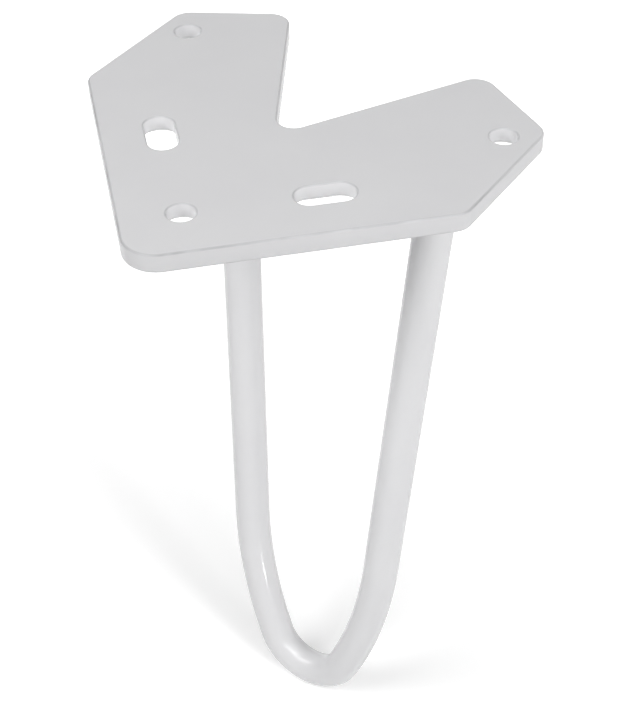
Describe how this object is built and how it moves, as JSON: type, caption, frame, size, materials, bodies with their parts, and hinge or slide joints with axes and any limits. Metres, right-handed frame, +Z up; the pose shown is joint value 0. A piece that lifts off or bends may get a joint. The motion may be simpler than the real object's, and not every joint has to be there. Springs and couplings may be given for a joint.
{
  "type": "hairpin table leg",
  "caption": "Short hairpin furniture leg: a round bar bent into a leaning U, welded under a chevron screw plate with round holes and slots, powder coated white.",
  "frame": {"origin": "axis of the corner screw hole, on the plate's top face", "axes": "+X along one outer edge of the plate, +Y along the other, +Z up into the table; the leg hangs towards -Z"},
  "size_m": [0.0994, 0.0994, 0.207],
  "materials": {
    "powder_coat": "smooth white powder coat, semi-gloss"
  },
  "bodies": {
    "root": {"mounting_plate": "powder_coat", "hairpin_rod": "powder_coat", "right_weld": "powder_coat", "left_weld": "powder_coat"}
  },
  "joints": []
}
